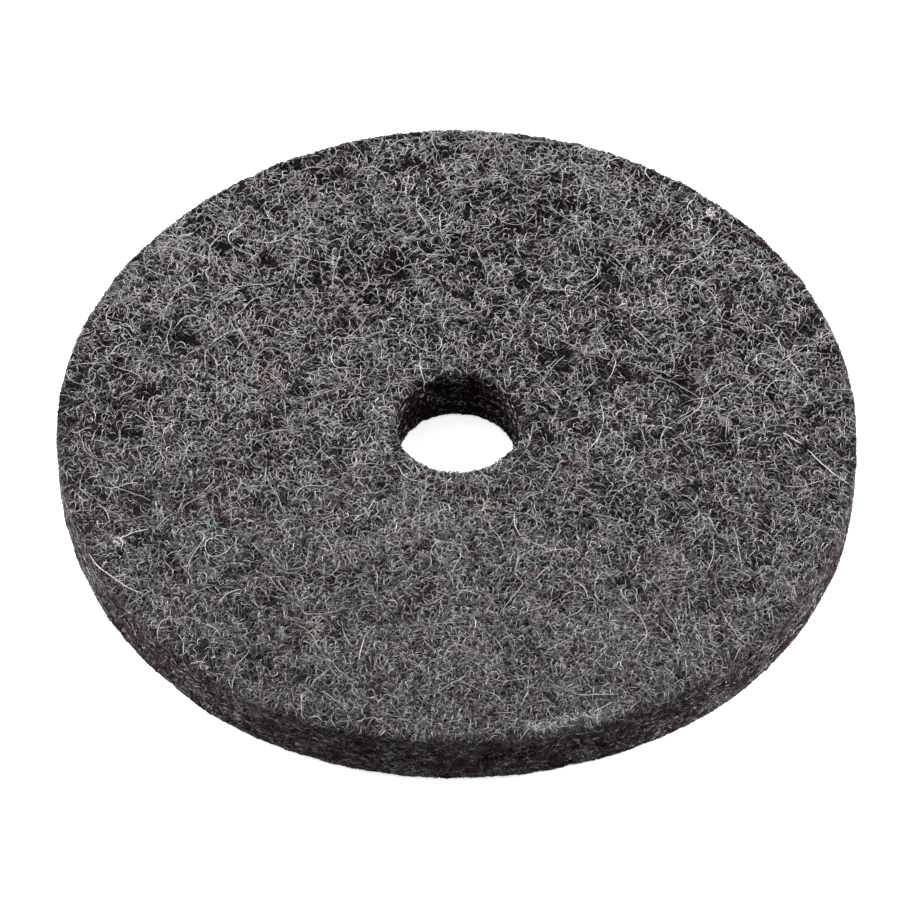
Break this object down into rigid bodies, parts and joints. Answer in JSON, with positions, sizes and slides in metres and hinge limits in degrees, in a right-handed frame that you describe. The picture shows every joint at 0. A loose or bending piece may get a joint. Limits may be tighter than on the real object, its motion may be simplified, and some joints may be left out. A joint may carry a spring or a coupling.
{
  "type": "felt polishing wheel",
  "caption": "Flat round polishing wheel of firm dark grey pressed wool felt, with a plain round arbor hole through its middle.",
  "frame": {"origin": "centre of the back face, on the arbor axis; the wheel lies flat on that face", "axes": "+Z along the arbor axis, from the back face to the front face; X and Y are equal, because the wheel is round"},
  "size_m": [0.1, 0.1, 0.008],
  "materials": {
    "felt": "matte"
  },
  "bodies": {
    "root": {"felt_disc": "felt"}
  },
  "joints": []
}
